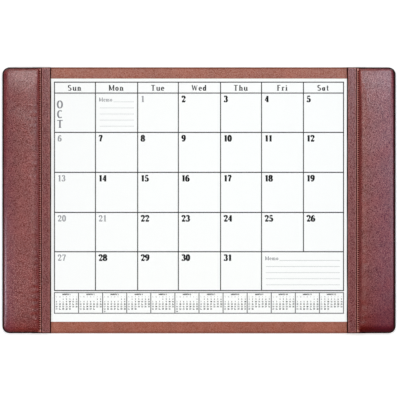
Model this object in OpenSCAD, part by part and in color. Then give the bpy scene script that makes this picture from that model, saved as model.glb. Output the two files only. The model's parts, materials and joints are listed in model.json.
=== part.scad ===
// Desk pad with two padded leather rails, two lifting flaps and a month-sheet calendar.
// Units are millimetres. X runs to the right, Y away from the user, Z up from the desk.
// Each rail is described from its outer edge inwards: u is the distance from that edge.

/* [Calendar] */
// Width of a calendar sheet
sheet_w = 508; // [300:1:700]
// Depth of a calendar sheet
sheet_d = 400; // [250:1:600]
// Thickness of one sheet
sheet_t = 0.1; // [0.08:0.01:0.2]
// Number of month sheets
sheet_count = 12; // [2:1:15]
// Thickness of the backing card
backer_t = 0.8; // [0.4:0.1:2]
// Thickness of the gum on the sheets' back edge
gum_t = 0.5; // [0.2:0.1:1]

/* [Pad] */
// Base showing in front of the calendar and behind it
base_margin = 19; // [12:0.5:40]
// Room from a sheet's side edge to the rail
side_room = 6.5; // [2:0.5:12]
// Radius of the outer corners in plan
corner_r = 10; // [6:0.5:16]
// Radius of the lower edge all round
edge_r = 1.5; // [1.2:0.1:2]

/* [Base] */
// Thickness of the felt on the desk side
felt_t = 1; // [0.6:0.1:3]
// Distance from the pad's edge to the felt's edge
felt_margin = 5; // [3:0.5:12]
// Thickness of the cover leather
leather_t = 1; // [0.8:0.1:1.4]
// Width of the leather turned in below the board
turn_in = 18; // [14:1:30]
// Thickness of the base board
board_t = 3; // [2:0.1:6]

/* [Rails] */
// Width of a rail from its outer edge to the lip
rail_w = 63.5; // [56:0.5:68]
// Inward lean of a rail's sides above the base
wall_lean = 2; // [0.5:0.1:3]
// Rise of the padding above the rail core
crown_h = 5.6; // [4:0.1:10]
// Width of the rounded outer shoulder
shoulder_w = 7; // [5:0.5:10]
// Slight doming of the crown inside the shoulder
crown_rise = 0.6; // [0.3:0.1:1]
// Distance from the outer edge to the flat top of the crown
crown_inset = 24; // [20:1:28]
// Width of the slope from the seam up to the crown
slope_w = 18.3; // [14:0.1:22]
// Thickness of the lip inside the seam
lip_t = 1.1; // [0.9:0.05:1.4]
// Distance from the lip's edge to the seam
seam_inset = 3.2; // [2.6:0.1:4.5]
// Thickness of the leather pressed down at the seam
groove_t = 0.7; // [0.5:0.05:0.8]
// Reach of the lip beyond the hem below it
lip_over = 0.3; // [0.2:0.05:0.4]
// Width of the hem sewn under the lip
hem_w = 14; // [8:0.5:20]
// Setback of the spacer strip behind the hem's edge
spacer_back = 1; // [0.5:0.1:3]

/* [Stitches] */
// Distance from one stitch to the next
stitch_pitch = 3.5; // [2.6:0.1:6]
// Length of thread showing in one stitch
stitch_len = 2.4; // [1.2:0.1:2.5]
// Radius of the thread
thread_r = 0.3; // [0.2:0.05:0.35]
// Distance from the pad's edge to the first stitch
stitch_end = 6; // [4:0.5:20]

/* [Flaps] */
// Width of a flap
flap_w = 16; // [13:0.5:24]
// Thickness of a flap and of the hem beside it
flap_t = 2; // [1.8:0.1:3]
// Space between the hem and a flap's round root
hinge_gap = 0.5; // [0.4:0.05:0.8]
// Thickness of the flap's facing leather
facing_t = 0.7; // [0.5:0.05:0.75]
// Thickness of the flap's lining
lining_t = 0.5; // [0.3:0.05:0.55]
// Width of the facing turned in below a flap
flap_turn = 4; // [2.5:0.5:5]

/* [Clearances] */
// Room above the calendar, below the flaps
slot_gap = 0.4; // [0.3:0.05:1.5]
// Room round the boards inside their covers
fit_gap = 0.1; // [0.1:0.05:0.3]
// Room between the foam and its cover
foam_gap = 0.15; // [0.1:0.05:0.3]
// Room between the thread and the leather below it
thread_gap = 0.06; // [0.04:0.01:0.1]

/* [Hidden] */
pad_w = sheet_w + 2 * (rail_w + side_room);
pad_d = sheet_d + 2 * base_margin;
z_turn = felt_t;
z_board = z_turn + leather_t;
z_cover = z_board + board_t;
z_bed = z_cover + leather_t;
pack_t = backer_t + sheet_count * sheet_t;
z_flap = z_bed + pack_t + slot_gap;
z_platform = z_flap + flap_t;
z_crown = z_platform + crown_h;
half_w = pad_w / 2;
half_d = pad_d / 2;
seam_u = rail_w - seam_inset;
hem_u = rail_w - hem_w;
shoulder_h = crown_h - crown_rise;
shoulder_foot = 0.5;
lip_crown = 0.08;
lip_bevel = 0.2;
slope_draw = 0.7;
sill_w = 0.3;
inner_inset = leather_t + wall_lean + fit_gap;
inner_d = pad_d - 2 * inner_inset;
flap_u = rail_w + hinge_gap;
hinge_u = flap_u + flap_t / 2;
arc_steps = 6;
end_shares = [0.94, 0.84, 0.68, 0.4];
slope_steps = [0.06, 0.18, 0.33, 0.58, 1];
shoulder_steps = [0, 18, 36, 54, 72, 90];
crown_steps = [1 / 3, 2 / 3, 1];
hidden_share = 0.6;
mitre_fall = 0.5;
mitre_min = 2;
rise_power = 0.62;
hollow_picks = [1, 2, 3, 5, 8];
z_clear = z_crown + 1;
cut = 1;
cut_lap = 0.01;

rail_red = [0.42, 0.16, 0.17];
flap_red = [0.47, 0.24, 0.24];
base_red = [0.52, 0.28, 0.23];

function sheet_name(i) = str("sheet_", i < 10 ? "0" : "", i);

// Plan radius of a corner that lies d inside the pad's edge
function corner_at(d) = max(corner_r - mitre_fall * d, mitre_min);

// Share of the padding's rise at share s of the slope's width
function rise(s) = sin(90 * pow(s, rise_power));

// Plan points of a ring d inside the outer edges that ends on the seam side at e
function front_end(d, e) =
    let (start = d + corner_at(d))
        [for (f = end_shares) [start + f * (e - start), d - half_d]];
function front_arc(d) = [
    for (i = [0:arc_steps])
        let (a = 270 - 90 * i / arc_steps, r = corner_at(d))
            [d + r + r * cos(a), d + r - half_d + r * sin(a)]
];
function front_half(d, e) = concat([[e, d - half_d]], front_end(d, e), front_arc(d));
function flip(points) = [for (i = [len(points) - 1:-1:0]) [points[i][0], -points[i][1]]];
function plan_ring(d, e) = concat(front_half(d, e), flip(front_half(d, e)));

// A ring raised to z, lowered where the seam slope lies below it, with zs at the seam itself
function ring(d, z, e, zs, slope) =
    let (plan = plan_ring(d, e), last = len(plan) - 1)
        [
            for (i = [0:last])
                let (p = plan[i], at_seam = i == 0 || i == last)
                    [p[0], p[1], at_seam ? zs : min(z, lookup(p[0], slope))]
        ];

// A ring at one height
function flat_ring(d, z, e) = ring(d, z, e, z, [[0, z_clear], [half_w, z_clear]]);

// Padding rings on the outer sides as [inset, height], o below the leather's outside
function outer_side(o) = concat(
    [for (t = shoulder_steps)
        [
            wall_lean + shoulder_w - (shoulder_w - o) * cos(t),
            z_platform + shoulder_foot + (shoulder_h - shoulder_foot - o) * sin(t)
        ]],
    [for (c = crown_steps)
        let (d = wall_lean + shoulder_w)
            [d + c * (crown_inset - d), z_crown - o - crown_rise * pow(1 - c, 2)]]
);

// Seam slope as [distance from the outer edge, height], with its foot at height foot and o below
// the leather's outside
function seam_slope(o, foot) = [
    for (s = slope_steps)
        [seam_u - slope_w * s - slope_draw * o * (1 - s), foot + (z_crown - o - foot) * rise(s)]
];

// Seam side of the cover's outside, from the lip's lower edge to the crown
function cover_seam() = concat(
    [[rail_w + lip_over, z_platform + lip_bevel]],
    [[rail_w, z_platform + lip_t]],
    [[rail_w - seam_inset / 2, z_platform + lip_t + lip_crown]],
    [[seam_u, z_platform + groove_t]],
    seam_slope(0, z_platform + groove_t)
);

// Table of heights by distance from the outer edge, in rising order
function slope_table(points) = concat([[0, z_clear]], [for (i = [len(points) - 1:-1:0]) points[i]]);

// Outside of the padding, from the lip up to the crown
function cover_rings() =
    let (side = outer_side(0), seam = cover_seam(), table = slope_table(seam))
        [for (k = [0:len(side) - 1]) ring(side[k][0], side[k][1], seam[k][0], seam[k][1], table)];

// Hollow under the leather, from the platform up to the crown, o below the outside
function hollow_rings(o) =
    let (
        side = [for (k = hollow_picks) outer_side(o)[k]],
        seam = seam_slope(o, z_platform),
        table = slope_table(concat([[seam_u, z_platform]], seam))
    )
        concat(
            [flat_ring(wall_lean + o + sill_w, z_platform, seam_u - o + leather_t)],
            [for (k = [0:len(side) - 1]) ring(side[k][0], side[k][1], seam[k][0], seam[k][1], table)]
        );

// Triangles between ring a and ring b of m stations each
function band(a, b, m) = [
    for (i = [0:m - 2], t = [0, 1])
        t == 0
            ? [a * m + i, a * m + i + 1, b * m + i + 1]
            : [a * m + i, b * m + i + 1, b * m + i]
];

// The same band across the seam side, from the last station to the first
function seam_band(a, b, m) = [[a * m + m - 1, a * m, b * m], [a * m + m - 1, b * m, b * m + m - 1]];

// Triangles that fill ring a: a fan at each end and two long ones between
function cap(a, m) =
    let (h = m / 2, o = a * m)
        concat(
            [for (i = [0:h - 3]) [o + h - 1, o + i, o + i + 1]],
            [[o, o + h - 1, o + m - 1], [o + h - 1, o + h, o + m - 1]],
            [for (i = [h + 1:m - 2]) [o + h, o + i, o + i + 1]]
        );

// The same triangles facing the other way
function turned(faces) = [for (f = faces) [f[2], f[1], f[0]]];

// The rail's leather: turn-in, rounded lower edge, wall, padding, lip, and the hollow inside
module cover_shell() {
    foot = [
        flat_ring(turn_in, z_turn, rail_w),
        flat_ring(edge_r, z_turn, rail_w),
        flat_ring(edge_r * (1 - sin(45)), z_turn + edge_r * (1 - cos(45)), rail_w),
        flat_ring(0, z_turn + edge_r, rail_w),
        flat_ring(0, z_bed, rail_w),
        flat_ring(wall_lean, z_platform, rail_w)
    ];
    outside = concat(foot, cover_rings());
    hollow = hollow_rings(leather_t);
    inside = concat(
        [for (k = [len(hollow) - 1:-1:0]) hollow[k]],
        [flat_ring(wall_lean + leather_t, z_platform, rail_w)],
        [flat_ring(leather_t, z_bed, rail_w)],
        [flat_ring(leather_t, z_board, rail_w)],
        [flat_ring(turn_in, z_board, rail_w)]
    );
    rings = concat(outside, inside);
    m = len(rings[0]);
    lip = len(foot);
    top = len(outside) - 1;
    roof = top + 1;
    sill = roof + len(hollow) - 1;
    wall = sill + 1;
    bend = wall + 1;
    heel = bend + 1;
    last = len(rings) - 1;
    end_fan = [last, 0, 1, 2, 3, 4, bend];
    end_faces = concat(
        [for (k = [0:len(end_fan) - 2]) [heel, end_fan[k], end_fan[k + 1]]],
        [[bend, lip - 2, lip - 1], [bend, lip - 1, wall]]
    );
    points = [for (r = rings, p = r) p];
    faces = concat(
        [for (k = [0:top - 1], f = band(k, k + 1, m)) f],
        [for (k = [roof:last - 1], f = band(k, k + 1, m)) f],
        band(last, 0, m),
        [for (k = [lip:top - 1], f = seam_band(k, k + 1, m)) f],
        [for (k = [roof:sill - 1], f = seam_band(k, k + 1, m)) f],
        seam_band(sill, wall, m),
        seam_band(wall, lip, m),
        [[wall * m, (lip - 1) * m, lip * m]],
        [[wall * m + m - 1, lip * m + m - 1, (lip - 1) * m + m - 1]],
        cap(top, m),
        turned(cap(roof, m)),
        [for (f = end_faces) [f[0] * m, f[1] * m, f[2] * m]],
        [for (f = end_faces) [f[0] * m + m - 1, f[2] * m + m - 1, f[1] * m + m - 1]]
    );
    translate([-half_w, 0, 0])
        polyhedron(points, faces);
}

// The foam under the leather
module foam_block() {
    rings = hollow_rings(leather_t + foam_gap);
    m = len(rings[0]);
    top = len(rings) - 1;
    points = [for (r = rings, p = r) p];
    faces = concat(
        [for (k = [0:top - 1], f = band(k, k + 1, m)) f],
        [for (k = [0:top - 1], f = seam_band(k, k + 1, m)) f],
        cap(top, m),
        turned(cap(0, m))
    );
    translate([-half_w, 0, 0])
        polyhedron(points, faces);
}

// Rectangle with four rounded corners
module round_rect(w, d, r) {
    square([w - 2 * r, d], center = true);
    square([w, d - 2 * r], center = true);
    for (x = [-1, 1], y = [-1, 1])
        translate([x * (w / 2 - r), y * (d / 2 - r)])
            circle(r = r, $fn = 64);
}

// Plate d inside the pad's edge all round
module inset_plate(d, z, t) {
    translate([0, 0, z])
        linear_extrude(t)
            round_rect(pad_w - 2 * d, pad_d - 2 * d, corner_at(d));
}

// Straight strip of the left side between two distances from the outer edge
module strip(u0, u1, z, t, length) {
    translate([u0 - half_w, -length / 2, z])
        cube([u1 - u0, length, t]);
}

// Extrude an X-Z profile along Y
module along_y(length) {
    translate([0, length / 2, 0])
        rotate([90, 0, 0])
            linear_extrude(length)
                children();
}

module felt_lining() {
    color([0.13, 0.12, 0.12])
        inset_plate(felt_margin, 0, felt_t);
}

module base_filler() {
    color([0.62, 0.58, 0.5])
        inset_plate(turn_in + fit_gap, z_turn, leather_t);
}

module base_board() {
    color([0.5, 0.38, 0.26])
        inset_plate(leather_t + fit_gap, z_board, board_t);
}

// Cross-section of the base leather from the front edge to the back edge
module wrap_profile() {
    mid = (z_turn + z_bed) / 2;
    difference() {
        translate([0, mid])
            round_rect(pad_d, z_bed - z_turn, edge_r);
        translate([leather_t - half_d, z_board])
            square([pad_d - 2 * leather_t, board_t]);
        translate([turn_in - half_d, z_turn - cut])
            square([pad_d - 2 * turn_in, leather_t + cut + cut_lap]);
    }
}

module base_cover() {
    color(base_red) {
        translate([rail_w - half_w, 0, 0])
            rotate([90, 0, 90])
                linear_extrude(pad_w - 2 * rail_w)
                    wrap_profile();
        inset_plate(leather_t + fit_gap, z_cover, leather_t);
    }
}

module rail_core() {
    r = corner_at(inner_inset);
    reach = hem_u - fit_gap;
    color([0.55, 0.42, 0.3])
        translate([-half_w, 0, z_bed])
            linear_extrude(z_platform - z_bed) {
                translate([inner_inset + r, -inner_d / 2])
                    square([reach - inner_inset - r, inner_d]);
                translate([inner_inset, r - inner_d / 2])
                    square([reach - inner_inset, inner_d - 2 * r]);
                for (y = [-1, 1])
                    translate([inner_inset + r, y * (inner_d / 2 - r)])
                        circle(r = r, $fn = 64);
            }
}

module spacer_strip() {
    color([0.6, 0.56, 0.48])
        strip(hem_u, rail_w - spacer_back, z_bed, z_flap - z_bed, inner_d);
}

module flap_hem() {
    color(flap_red)
        strip(hem_u, rail_w, z_flap, flap_t, inner_d);
}

module rail_foam() {
    color([0.85, 0.8, 0.62])
        foam_block();
}

module rail_cover() {
    color(rail_red)
        cover_shell();
}

// Axis of a thread that rests on both sides of the seam's groove
function thread_seat() =
    let (
        foot = [seam_u, z_platform + groove_t],
        up = seam_slope(0, foot[1])[0] - foot,
        lip = cover_seam()[2] - foot,
        a = [up[1], -up[0]] / norm(up),
        b = [-lip[1], lip[0]] / norm(lip)
    )
        foot + (thread_r + thread_gap) * (a + b) / (1 + a * b);

// A row of stitches on one running thread
module seam_thread() {
    count = floor((pad_d - 2 * stitch_end) / stitch_pitch);
    row = (count - 1) * stitch_pitch;
    seat = thread_seat();
    color([0.3, 0.07, 0.07])
        translate([seat[0] - half_w, 0, seat[1]]) {
            along_y(row + stitch_len)
                circle(r = thread_r * hidden_share, $fn = 24);
            for (i = [0:count - 1])
                translate([0, i * stitch_pitch - row / 2, 0])
                    along_y(stitch_len)
                        circle(r = thread_r, $fn = 24);
        }
}

// Cross-section of a flap: flat strip with a round root and a round free edge
module flap_outline() {
    r = flap_t / 2;
    translate([flap_u + r, z_flap])
        square([flap_w - flap_t, flap_t]);
    for (u = [flap_u + r, flap_u + flap_w - r])
        translate([u, z_flap + r])
            circle(r = r, $fn = 48);
}

module flap_facing() {
    pocket = flap_t - facing_t - lining_t;
    color(flap_red)
        difference() {
            translate([-half_w, 0, 0])
                along_y(pad_d)
                    flap_outline();
            strip(hinge_u, flap_u + flap_w - flap_t / 2, z_flap + lining_t, pocket, pad_d - 2 * facing_t);
            strip(
                flap_u + flap_turn,
                flap_u + flap_w - flap_turn,
                z_flap - cut,
                lining_t + cut + cut_lap,
                pad_d - 2 * flap_turn
            );
        }
}

module flap_stiffener() {
    pocket = flap_t - facing_t - lining_t;
    color([0.75, 0.72, 0.65])
        strip(
            hinge_u + fit_gap,
            flap_u + flap_w - flap_t / 2 - fit_gap,
            z_flap + lining_t,
            pocket,
            pad_d - 2 * facing_t - 2 * fit_gap
        );
}

module flap_lining() {
    color([0.3, 0.1, 0.1])
        strip(
            flap_u + flap_turn + fit_gap,
            flap_u + flap_w - flap_turn - fit_gap,
            z_flap,
            lining_t,
            pad_d - 2 * flap_turn - 2 * fit_gap
        );
}

module calendar_backer() {
    color([0.55, 0.5, 0.43])
        translate([-sheet_w / 2, -sheet_d / 2, z_bed])
            cube([sheet_w, sheet_d, backer_t]);
}

// Padding gum on the back edge of the card and of every sheet below the top one
module gummed_edge() {
    color([0.9, 0.88, 0.8])
        translate([-sheet_w / 2, sheet_d / 2, z_bed])
            cube([sheet_w, gum_t, pack_t - sheet_t]);
}

// Sheet 1 is the top one
module sheet(i) {
    color([0.98, 0.98, 0.97])
        translate([-sheet_w / 2, -sheet_d / 2, z_bed + pack_t - i * sheet_t])
            cube([sheet_w, sheet_d, sheet_t]);
}

felt_lining();
base_filler();
base_board();
base_cover();
rail_core();  // left_rail_core
spacer_strip();  // left_spacer_strip
flap_hem();  // left_flap_hem
rail_foam();  // left_rail_foam
rail_cover();  // left_rail_cover
seam_thread();  // left_seam_thread
flap_facing();  // left_flap_facing
flap_stiffener();  // left_flap_stiffener
flap_lining();  // left_flap_lining
mirror([1, 0, 0]) rail_core();  // right_rail_core
mirror([1, 0, 0]) spacer_strip();  // right_spacer_strip
mirror([1, 0, 0]) flap_hem();  // right_flap_hem
mirror([1, 0, 0]) rail_foam();  // right_rail_foam
mirror([1, 0, 0]) rail_cover();  // right_rail_cover
mirror([1, 0, 0]) seam_thread();  // right_seam_thread
mirror([1, 0, 0]) flap_facing();  // right_flap_facing
mirror([1, 0, 0]) flap_stiffener();  // right_flap_stiffener
mirror([1, 0, 0]) flap_lining();  // right_flap_lining
calendar_backer();
gummed_edge();
for (i = [1:sheet_count])
    sheet(i);
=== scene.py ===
import json
import math

import bpy
import numpy as np
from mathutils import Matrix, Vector
from mathutils.geometry import delaunay_2d_cdt


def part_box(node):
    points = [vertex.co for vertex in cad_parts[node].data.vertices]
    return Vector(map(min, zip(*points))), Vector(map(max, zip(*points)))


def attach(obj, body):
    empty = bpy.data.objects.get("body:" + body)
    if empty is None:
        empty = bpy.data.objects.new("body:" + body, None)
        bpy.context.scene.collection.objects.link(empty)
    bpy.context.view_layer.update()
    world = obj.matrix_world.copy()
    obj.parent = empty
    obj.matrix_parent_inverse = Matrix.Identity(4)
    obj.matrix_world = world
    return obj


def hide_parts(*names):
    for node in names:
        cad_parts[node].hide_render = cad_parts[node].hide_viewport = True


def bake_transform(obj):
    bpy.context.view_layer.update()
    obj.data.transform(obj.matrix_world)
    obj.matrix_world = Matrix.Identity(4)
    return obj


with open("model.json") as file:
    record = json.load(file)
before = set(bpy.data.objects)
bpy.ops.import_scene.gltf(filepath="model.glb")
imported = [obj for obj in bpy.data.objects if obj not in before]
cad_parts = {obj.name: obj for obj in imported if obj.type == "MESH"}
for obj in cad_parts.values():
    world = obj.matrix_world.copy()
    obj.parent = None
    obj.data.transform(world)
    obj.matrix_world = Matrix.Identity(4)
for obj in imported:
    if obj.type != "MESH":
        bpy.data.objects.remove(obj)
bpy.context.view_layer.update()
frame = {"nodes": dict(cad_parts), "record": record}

# Lengths below are in millimetres, and a mesh is scaled to metres when it is made.
# u is the distance inwards from the pad's outer left or right edge.
MM = 0.001
SIDES = {"left": -1, "right": 1}


def box_mm(node):
    """Lowest and highest corner of a CAD node in millimetres."""
    low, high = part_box(node)
    return np.array(low) / MM, np.array(high) / MM


rail_low, rail_high = box_mm("left_rail_cover")
hem_low, hem_high = box_mm("left_flap_hem")
flap_low, flap_high = box_mm("left_flap_facing")
lining_low, lining_high = box_mm("left_flap_lining")
thread_low, thread_high = box_mm("left_seam_thread")
HALF_W = -rail_low[0]
HALF_D = rail_high[1]
PAD_D = 2 * HALF_D
Z_BED = box_mm("base_cover")[1][2]
Z_TURN = rail_low[2]
Z_PLATFORM = hem_high[2]
Z_CROWN = rail_high[2]
Z_FLAP = flap_low[2]
LIP_END = rail_high[0] + HALF_W
RAIL_W = hem_high[0] + HALF_W
HEM_U = hem_low[0] + HALF_W
FLAP_REACH = 0.4
FLAP_END = flap_high[0] + HALF_W + FLAP_REACH
LINING_U = lining_low[0] + HALF_W
LINING_END = lining_high[0] + HALF_W
LINING_Y = lining_high[1]

# Sizes of the padding, as in the solids below it apart from corner, far shoulder and seam
WALL_LEAN = 2.0
CORNER_R = 12.0
MITRE_FALL = 0.5
EDGE_R = 1.5
TURN_IN = 18.0
LEATHER_T = 1.0
SHOULDER_W = 7.0
FAR_SHOULDER_W = 3.6
SHOULDER_FOOT = 0.5
SHOULDER_SHARE = 0.88
CROWN_REACH = 22.0
SLOPE_W = 18.3
RISE_POWER = 0.62
SEAM_U = RAIL_W - 1.8
GROOVE_T = 0.7
LIP_T = 1.1
LIP_RISE_W = 1.6
LIP_EDGE_T = 0.15
SEAM_HALF = 1.1
STITCH_PITCH = 3.5
HOLE_HALF = 0.95
HOLE_FADE = 0.3
HOLE_DEPTH = 0.45
PUCKER = 0.09
PUCKER_REACH = 2.2
INSIDE_GAP = 0.03

# Unevenness of the padding. Waves are given as shortest, longest and number, wrinkles as lowest and highest.
CROWN_WAVE, CROWN_WAVES, CROWN_WAVE_LEAN = 0.12, (35, 90, 6), 0.6
SLOPE_WAVE, SLOPE_WAVES = 0.08, (9, 30, 5)
FAR_SLOPE, FAR_SLOPE_V = 0.35, (0, 70)
NEAR_SLOPE, NEAR_SLOPE_V = 0.6, (0, 30)
WRINKLE_LEAN = (-0.35, 0.35)
WRINKLE_W = (0.9, 1.7)
WRINKLE_REACH = (5, 13)
WRINKLE_SIZE = (-0.16, 0.2)

# Rows of points across the padding
SHOULDER_STEPS, CROWN_STEPS, SLOPE_STEPS, LIP_STEPS = 11, 13, 22, 8


# Meshes

def make_object(name, points, faces, smooth=True):
    """A mesh object from points in millimetres."""
    mesh = bpy.data.meshes.new(name)
    mesh.from_pydata((np.asarray(points, float) * MM).tolist(), [], [tuple(int(i) for i in f) for f in faces])
    mesh.validate()
    if smooth:
        mesh.shade_smooth()
    obj = bpy.data.objects.new(name, mesh)
    bpy.context.scene.collection.objects.link(obj)
    return obj


def add_values(obj, name, values):
    """A number for each point that a material can read."""
    attribute = obj.data.attributes.new(name, "FLOAT", "POINT")
    attribute.data.foreach_set("value", np.asarray(values, np.float32))


def grid_faces(index):
    """Quads over a two-way array of point numbers, facing +Z where rows run along +X and columns along +Y."""
    a, b, c, d = index[:-1, :-1], index[1:, :-1], index[1:, 1:], index[:-1, 1:]
    return np.stack([a, b, c, d], axis=-1).reshape(-1, 4)


def point_normals(points, quads):
    """Unit normal at each point of a quad mesh."""
    p = points[quads]
    face = np.cross(p[:, 2] - p[:, 0], p[:, 3] - p[:, 1])
    total = np.zeros_like(points)
    for k in range(4):
        np.add.at(total, quads[:, k], face)
    return total / np.maximum(np.linalg.norm(total, axis=1, keepdims=True), 1e-12)


def open_edges(faces):
    """Directed edges that only one face uses."""
    edges = [(f[k], f[(k + 1) % len(f)]) for f in faces.tolist() for k in range(len(f))]
    known = set(edges)
    return [e for e in edges if (e[1], e[0]) not in known]


def thicken(points, quads, inside):
    """A closed shell between an open surface and the points inside it."""
    n = len(points)
    rim = [(b, a, a + n, b + n) for a, b in open_edges(quads)]
    return np.concatenate([points, inside]), np.concatenate([quads, quads[:, ::-1] + n, rim])


def smooth_step(low, high, value):
    t = np.clip((value - low) / (high - low), 0, 1)
    return t * t * (3 - 2 * t)


def fade(low, high, value):
    return 1 - smooth_step(low, high, value)


# Padded rails

# Looks of each rail, mostly painted shade, painted highlights and a painted bluish sheen in the leather's
# colour. A pair runs from the far end to the near end, or says where a change starts and stops.
# Painted shade on the walls and in a band round the foot of the padding, where the steep sides stand in
# shade; the lip's cut edge takes the same darkening, partly edge paint and partly painted shade.
WALL_SHADE_AND_EDGE_PAINT = 0.96
WALL_FOOT_SHADE = 0.45
WALL_FOOT_Z = 3.5
FOOT_REACH = (2.5, 3.3)
FAR_FOOT = 0.5
OUTER_SHADE_SHIFT = {"left": 0.0, "right": 1.2}
# Painted shade on the slope down to the seam, more on the right rail.
SLOPE_SHADE = {"left": (0.17, 0.23), "right": (0.34, 0.34)}
SLOPE_REACH = {"left": (0.3, 0.8), "right": (0.18, 0.42)}
# Painted shade towards the near end, down the right rail towards the near end, on the left rail's outer side
# in its far half, and round the near shoulder.
END_SHADE = {"left": 0.06, "right": 0.2}
END_SHADE_V = (0, 110)
LONG_SHADE = {"left": 0.0, "right": 0.1}
LONG_SHADE_V = (60, PAD_D)
SIDE_SHADE = {"left": 0.09, "right": 0.0}
SIDE_SHADE_U = (14, 34)
SIDE_SHADE_V = (140, 230)
SIDE_SHADE_FAR = (20, 70)
NEAR_SHADE = {"left": 0.22, "right": 0.45}
NEAR_SHADE_V = (3, 17)
NEAR_RIM = {"left": 0.17, "right": 0.0}
NEAR_RIM_V = (4.5, 7.5)
# A lighter lip, partly rubbed leather and partly painted highlight, less so at each needle hole, and a
# painted highlight between the holes.
LIP_RUB_AND_HIGHLIGHT = {"left": (0.65, 0.9), "right": (1.4, 1.2)}
LIP_RUB_AND_HIGHLIGHT_FROM = (0.15, 0.75)
HOLE_DIP = {"left": (0.55, 0.65), "right": (0.4, 0.55)}
BETWEEN_HIGHLIGHT = {"left": (0.15, 0.32), "right": (0.36, 0.36)}
POLISH = {"left": (0.0, 1.0), "right": (0.5, 0.6)}
POLISH_FROM = (2.9, 4.0)
POLISH_TO = (6, 13)
POLISH_V = (8, 40)
# A painted bluish sheen added to the leather's colour, strongest towards the outer edge.
SHEEN_PAINT = {"left": (0.35, 0.9), "right": (0.95, 1.35)}
SHEEN_PAINT_U = {"left": (4, 30), "right": (4, 60)}
SHEEN_PAINT_SHARE = (0.3, 0.7)
COARSE = {"left": 0.75, "right": 0.2}
COARSE_Y = (-150, 60)
END_FALL = 0.3
END_REACH = 40.0
END_CROWN_REACH = 1.7 * CROWN_REACH


def shoulder_rise(d, reach, width=SHOULDER_W):
    """Share of the padding's height at a distance d in from the wall."""
    round_part = np.sqrt(1 - (1 - np.clip(d / width, 0, 1)) ** 2)
    dome = 1 - (1 - np.clip(d / reach, 0, 1)) ** 2
    return SHOULDER_SHARE * round_part + (1 - SHOULDER_SHARE) * dome


def shoulder_steps():
    turn = np.radians(np.linspace(0, 90, SHOULDER_STEPS))
    return WALL_LEAN + SHOULDER_W * (1 - np.cos(turn))


def rail_columns():
    """Distances from the outer edge at which the padding is drawn, finer at the shoulder and at the seam."""
    shoulder = shoulder_steps()
    crown = np.linspace(shoulder[-1], SEAM_U - SLOPE_W, CROWN_STEPS)[1:]
    slope = SEAM_U - SLOPE_W * np.linspace(1, 0, SLOPE_STEPS)[1:] ** 1.3
    lip = np.linspace(SEAM_U, RAIL_W, LIP_STEPS)[1:]
    edge = RAIL_W + (LIP_END - RAIL_W) * np.sin(np.radians([30, 60, 90]))
    return np.concatenate([shoulder, crown, slope, lip, edge])


def rail_rows():
    """Distances from the near edge: beside each needle hole, and finer at the two end shoulders."""
    end = shoulder_steps()
    reach = HALF_D - end[-1] - 0.3
    rim = HOLE_HALF + HOLE_FADE
    beside = np.array([-rim, -HOLE_HALF, HOLE_HALF, rim])
    count = math.ceil(reach / STITCH_PITCH) + 1
    holes = hole_places()[0] % STITCH_PITCH + STITCH_PITCH * np.arange(-count, count + 1)
    middle = np.ravel(holes[:, None] + beside)
    middle = middle[np.abs(middle) < reach]
    return np.concatenate([end, HALF_D + middle, PAD_D - end[::-1]])


def round_corner(u, v, inset):
    """Moves a grid whose edges lie at inset so that its outer corner becomes an arc."""
    r = CORNER_R - MITRE_FALL * inset
    a = np.clip(1 - (u - inset) / r, 0, 1)
    b = np.clip(1 - (v - inset) / r, 0, 1)
    near = (a > 0) & (b > 0)
    new_u = inset + r * (1 - a * np.sqrt(1 - b * b / 2))
    new_v = inset + r * (1 - b * np.sqrt(1 - a * a / 2))
    return np.where(near, new_u, u), np.where(near, new_v, v)


def wall_levels():
    """Inset and height down the wall, round the lower edge and along the turn-in."""
    drop = Z_BED - Z_PLATFORM
    wall = [(WALL_LEAN * (1 - t) ** 1.15, Z_PLATFORM + drop * t) for t in np.linspace(0, 1, 6)]
    foot = Z_TURN + EDGE_R
    edge = [(EDGE_R * (1 - math.cos(a)), foot - EDGE_R * math.sin(a)) for a in np.radians([0, 30, 60, 90])]
    turn = [(d, Z_TURN) for d in (5.0, 11.0, TURN_IN)]
    return wall + [(0.0, (Z_BED + foot) / 2)] + edge + turn


def wrinkles(u, y, rng, places):
    """Fine folds that run from the seam into the padding."""
    away = SEAM_U - u
    height = np.zeros_like(u)
    for place, spread, count in places:
        for _ in range(count):
            y0 = place + spread * rng.uniform(-1, 1)
            lean = rng.uniform(*WRINKLE_LEAN)
            width = rng.uniform(*WRINKLE_W)
            reach = rng.uniform(*WRINKLE_REACH)
            size = rng.uniform(*WRINKLE_SIZE)
            fold = np.exp(-(((y - y0 - lean * away) / width) ** 2))
            height += size * fold * np.exp(-((away / reach) ** 2)) * smooth_step(0, 1.5, away)
    return height


def waves(y, rng, shortest, longest, count):
    """A smooth irregular wave along the rail, about one unit high."""
    total = np.zeros_like(y)
    for _ in range(count):
        total += np.sin(2 * math.pi * (y / rng.uniform(shortest, longest) + rng.uniform(0, 1)))
    return total / math.sqrt(count)


def stitch_places():
    """Middles of the stitches along the seam."""
    row = thread_high[1] - thread_low[1]
    count = int(row // STITCH_PITCH) + 1
    return (np.arange(count) - (count - 1) / 2) * STITCH_PITCH


def hole_places():
    stitches = stitch_places()
    return np.append(stitches - STITCH_PITCH / 2, stitches[-1] + STITCH_PITCH / 2)


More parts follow.
